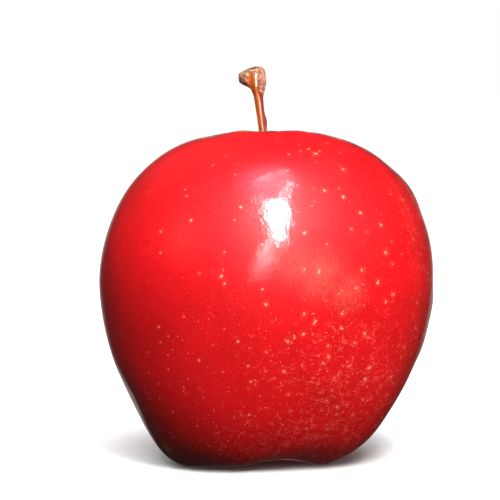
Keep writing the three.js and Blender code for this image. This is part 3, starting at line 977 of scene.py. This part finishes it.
# Where shade is painted on the stalk: under the left lump and in the groove between lump and bark
# strip.
write_attribute(apple_stem.data, "painted_shade", [
    0.75 * ramp(d, 2.4, 3.8) * ramp(-a, 20, 45) + 0.6 * ramp(d, 1.6, 2.6) * hill(a, -46, 16)
    for a, d in zip(azimuths, depths)])
write_attribute(apple_stem.data, "low", [1 - ramp(p.z, 68, 76) for p, cork in shaped])
print("stalk box in mm:", [round(v / MM, 1) for v in apple_stem.dimensions])

# %% [markdown]
# ## The dried flower
#
# The eye at the base holds what is left of the blossom: five dry sepals that curl outwards, ten
# thread-thin stamens, and the stump of the style. A cloth simulation could crumple a sepal, but it
# is slow and hard to steer on a piece this small. So a sepal starts as a flat sheet of faces. Each
# point of the sheet knows how far along and across the sepal it lies, so one formula can bend it,
# narrow it and crumple it. Then the sheet gets thickness.
#
# A dry sepal is a dead leaf with pale down on it. To the eye it is matt and mottled brown, with
# dark veins that run to a darker tip, under a dusty bloom. Its down is under 0.02 mm thick, so it
# is drawn at 0.22 mm, to show at all.

# %% Colour the dry sepals
MOTTLE_SIZE, MOTTLE_HEIGHT = 0.9, 0.12
DOWN_SIZE = 0.22
VEIN_WAVES = 44  # in radians across a sepal, which gives seven veins
VEIN_DEPTH = 0.05
sepal_skin, tree = new_material("dry downy sepal")
mm = place_in_mm(tree)
along, across = (
    add_node(tree, "Attribute", attribute_name=name).outputs["Fac"] for name in ("along", "across"))
mottle = add_node(tree, "TexNoise", {
    "Vector": mm, "Scale": 1 / MOTTLE_SIZE, "Detail": 3.0, "Roughness": 0.65})
dry = add_node(tree, "Mix", {
    0: add_node(tree, "MapRange", {"Value": mottle, "From Min": 0.36, "From Max": 0.62}),
    MIX_A: linear("#3b2413"), MIX_B: linear("#8c6a3e")}, data_type="RGBA")
wander = add_node(tree, "Math", {0: mottle, 1: 0.12, 2: across}, operation="MULTIPLY_ADD")
veins = add_node(tree, "Math", {0: wander, 1: VEIN_WAVES}, operation="MULTIPLY")
veins = add_node(tree, "Math", {0: veins}, operation="COSINE")
vein = add_node(tree, "MapRange", {
    "Value": veins, "From Min": 0.55, "From Max": 1.0, "To Max": 0.7})
dry = add_node(tree, "Mix", {
    0: vein, MIX_A: dry, MIX_B: linear("#2a180c")}, data_type="RGBA")
down = add_node(tree, "TexNoise", {"Vector": mm, "Scale": 1 / DOWN_SIZE, "Detail": 2.0})
down = add_node(tree, "MapRange", {"Value": down, "From Min": 0.5, "From Max": 0.7, "To Max": 0.55})
dry = add_node(tree, "Mix", {0: down, MIX_A: dry, MIX_B: linear("#b8a482")}, data_type="RGBA")
dry = add_node(tree, "Mix", {
    0: add_node(tree, "MapRange", {"Value": along, "From Min": 0.6, "To Max": 0.75}),
    MIX_A: dry, MIX_B: linear("#1f120a")}, data_type="RGBA")
relief = add_node(tree, "Math", {0: vein, 1: -VEIN_DEPTH}, operation="MULTIPLY")
relief = add_node(tree, "Math", {0: mottle, 1: MOTTLE_HEIGHT, 2: relief}, operation="MULTIPLY_ADD")
bump = add_node(tree, "Bump", {"Height": relief, "Strength": 1.0, "Distance": MM})
surface = add_node(tree, "BsdfPrincipled", {
    "Base Color": dry, "Roughness": 0.85, "Sheen Weight": 0.25, "Sheen Roughness": 0.5,
    "Normal": bump})
add_node(tree, "OutputMaterial", {"Surface": surface})
print("sepal nodes:", len(tree.nodes))

# %% Bend, crumple and thicken each sepal
SEPAL_COUNT = 5
SEPAL_LENGTH = 5.6
SEPAL_WIDTH = 2.8
SEPAL_CURL = math.radians(75)
SEPAL_ROOT = Vector((0, -3.1, 8.4))
SEPAL_THICKNESS = 0.34
SEPAL_ROUNDING = 0.09
EYE_X = axis_x(BASIN_FLOOR_Z)


def sepal_point(x, along, number):
    """A point in mm on the middle of a curled sepal. x runs from -0.5 to 0.5 across it, and along
    runs from 0 at its root to 1 at its tip."""
    curl = SEPAL_CURL * along
    where = Vector((x * 4, along * 4, number * 7))
    width = SEPAL_WIDTH * (1 - 0.85 * along ** 1.4) * (1 + 0.10 * noise.noise(where * 0.9))
    bow = 0.35 * (1 - 4 * x * x) * (1 - along)
    midrib = 0.10 * (1 - unit(abs(x) / 0.09))
    crumple = 0.16 * noise.noise(where * 0.7) + 0.05 * noise.noise(where * 2) + midrib
    out = SEPAL_LENGTH * (1 - math.cos(curl)) / SEPAL_CURL + bow - crumple * math.cos(curl)
    down = SEPAL_LENGTH * math.sin(curl) / SEPAL_CURL + crumple * math.sin(curl)
    return Vector((x * width, -out, -down)) + SEPAL_ROOT


for number in range(SEPAL_COUNT):
    bm = bmesh.new()
    along_layer = bm.verts.layers.float.new("along")
    across_layer = bm.verts.layers.float.new("across")
    bmesh.ops.create_grid(bm, x_segments=14, y_segments=26, size=0.5)
    for v in bm.verts:
        x, along = v.co.x, v.co.y + 0.5
        v[along_layer], v[across_layer] = along, x
        v.co = sepal_point(x, along, number)
    bmesh.ops.recalc_face_normals(bm, faces=bm.faces)
    bmesh.ops.solidify(bm, geom=bm.faces[:], thickness=SEPAL_THICKNESS)
    bmesh.ops.recalc_face_normals(bm, faces=bm.faces)
    rim = [e for e in bm.edges if e.calc_face_angle(0) > math.radians(50)]
    bmesh.ops.bevel(
        bm, geom=rim, affect="EDGES", offset=SEPAL_ROUNDING, segments=2, profile=0.5, material=-1,
        clamp_overlap=True)
    turn = Quaternion((0, 0, 1), math.radians(-36 + 72 * number))
    for v in bm.verts:
        v.co = (turn @ v.co + Vector((EYE_X, 0, 0)) + SHIFT) * MM
    sepal = add_piece(f"dry_sepal_{number + 1}", bm, sepal_skin, "dry_sepal", f"sepal_{number + 1}")
print("one sepal box in mm:", [round(v / MM, 1) for v in sepal.dimensions])

# %% [markdown]
# ## Stamens and style
#
# The stamens are threads that once held up the pollen, and the style is five more that grew
# together. They are turned from outlines, as the stalk is, because a curve with a bevel could not
# swell into an anther at its tip. Each is then kinked by a noise of its own, so that no two match.
#
# A dry thread shrinks into lengthwise wrinkles, so to the eye it is matt and streaked, and dark at
# its shrivelled tip. Its fibres are far finer than 0.18 mm, but would not show any finer.

# %% Colour the stamens and the style
WRINKLE_SIZE, WRINKLE_HEIGHT = 0.18, 0.04
WRINKLE_STRETCH = 0.2  # wrinkles are five times as long as they are wide
thread_skin, tree = new_material("dry brown flower thread")
mm = place_in_mm(tree)
along = add_node(tree, "Attribute", attribute_name="along").outputs["Fac"]
fibre = add_node(tree, "TexNoise", {
    "Vector": add_node(tree, "Mapping", {"Vector": mm, "Scale": (1, 1, WRINKLE_STRETCH)}),
    "Scale": 1 / WRINKLE_SIZE, "Detail": 2.0})
thread_colour = add_node(tree, "Mix", {
    0: add_node(tree, "MapRange", {"Value": fibre, "From Min": 0.35, "From Max": 0.65}),
    MIX_A: linear("#4b2f18"), MIX_B: linear("#9a7444")}, data_type="RGBA")
thread_colour = add_node(tree, "Mix", {
    0: add_node(tree, "MapRange", {"Value": along, "From Min": 0.30, "From Max": 0.12}),
    MIX_A: thread_colour, MIX_B: linear("#2e1a0e")}, data_type="RGBA")
bump = add_node(tree, "Bump", {
    "Height": add_node(tree, "Math", {0: fibre, 1: WRINKLE_HEIGHT}, operation="MULTIPLY"),
    "Strength": 1.0, "Distance": MM})
surface = add_node(tree, "BsdfPrincipled", {
    "Base Color": thread_colour, "Roughness": 0.75, "Normal": bump})
add_node(tree, "OutputMaterial", {"Surface": surface})
print("thread nodes:", len(tree.nodes))

# %% Turn and kink the stamens
STAMEN_COUNT = 10
STAMEN_ROOT_Z = 11.3
STAMEN_TIP_Z = 6.7
THREAD_STEPS = 12


def add_thread(name, node, bm, tip_z, root_z, shape):
    """Gives each point of a turned thread its share of the way up, shapes it and sets it in the
    eye."""
    layer = bm.verts.layers.float.new("along")
    for v in bm.verts:
        v[layer] = (v.co.z - tip_z) / (root_z - tip_z)
        v.co = (shape(v.co, v[layer]) + Vector((EYE_X, 0, 0)) + SHIFT) * MM
    return add_piece(name, bm, thread_skin, "dry_thread", node)


def stamen_shape(number):
    """How one stamen is shaped: a function of a point in mm and of its share of the way up."""
    turn = Quaternion((0, 0, 1), math.radians((number + 0.5) * 360 / STAMEN_COUNT))

    def shape(p, along):
        """Flattens the anther, kinks the thread and leans it outwards on its side of the eye."""
        anther = hill(along, 0.10, 0.16)
        p = Vector((p.x * (1 + 0.35 * anther), p.y * (1 - 0.25 * anther), p.z))
        kink = 0.22 * noise.noise(Vector((number * 5, along * 3, 0))) * unit(2 * (1 - along))
        return turn @ (p + Vector((kink, -1.35 - 0.9 * (1 - along) ** 2, 0)))

    return shape


for number in range(STAMEN_COUNT):
    bm = spun(outline_points([
        ((0, STAMEN_TIP_Z), (0.16, 6.72), (0.30, 6.95), (0.27, 7.3), 6),
        ((0.27, 7.3), (0.24, 7.6), (0.16, 7.6), (0.15, 8.0), 5),
        ((0.15, 8.0), (0.15, 9.0), (0.19, 10.4), (0.22, STAMEN_ROOT_Z), 10),
        ((0.22, STAMEN_ROOT_Z), (0.14, 11.32), (0.07, 11.32), (0, STAMEN_ROOT_Z), 2),
    ]), THREAD_STEPS)
    stamen = add_thread(
        f"dry_stamen_{number + 1:02d}", f"stamen_{number + 1:02d}", bm, STAMEN_TIP_Z, STAMEN_ROOT_Z,
        stamen_shape(number))
print("one stamen box in mm:", [round(v / MM, 2) for v in stamen.dimensions])

# %% Turn the style
STYLE_TIP_Z = 6.3
STYLE_STEPS = 40


def style(p, along):
    """Furrows the turned stump and parts its end into five points."""
    turn = math.atan2(p.x, -p.y)
    furrow = math.cos(5 * turn)
    swell = 1 + 0.16 * furrow
    return Vector((p.x * swell, p.y * swell, p.z - 0.18 * (furrow + 0.4) * hill(along, 0, 0.2)))


bm = spun(outline_points([
    ((0, 6.75), (0.10, 6.75), (0.16, 6.35), (0.24, STYLE_TIP_Z), 5),
    ((0.24, STYLE_TIP_Z), (0.36, STYLE_TIP_Z), (0.44, 6.6), (0.40, 7.1), 7),
    ((0.40, 7.1), (0.34, 7.7), (0.30, 8.6), (0.45, STAMEN_ROOT_Z), 14),
    ((0.45, STAMEN_ROOT_Z), (0.3, 11.34), (0.15, 11.34), (0, STAMEN_ROOT_Z), 3),
]), STYLE_STEPS)
dry_style = add_thread("dry_style", "style", bm, STYLE_TIP_Z, STAMEN_ROOT_Z, style)
print("style box in mm:", [round(v / MM, 2) for v in dry_style.dimensions])

# %% [markdown]
# ## A glint on the stalk
#
# Waxed bark shows one bright line, but an upright stalk mirrors what stands level with it, and the
# main light is far too high for that. Lowering the main light would move the fruit's window. So a
# narrow card stands level with the stalk, and light linking keeps it off the fruit. The fruit would
# mirror the lit stalk as a stray spot on its shoulder, so mirrored rays pass through the stalk.

# %% Put a glint on the stalk
stalk_card = add_softbox(
    "stalk_card", azimuth=20, elevation=2, distance=0.6, width=0.10, height=0.5, radiance=18)
light_only(stalk_card, apple_stem)
apple_stem.visible_glossy = False
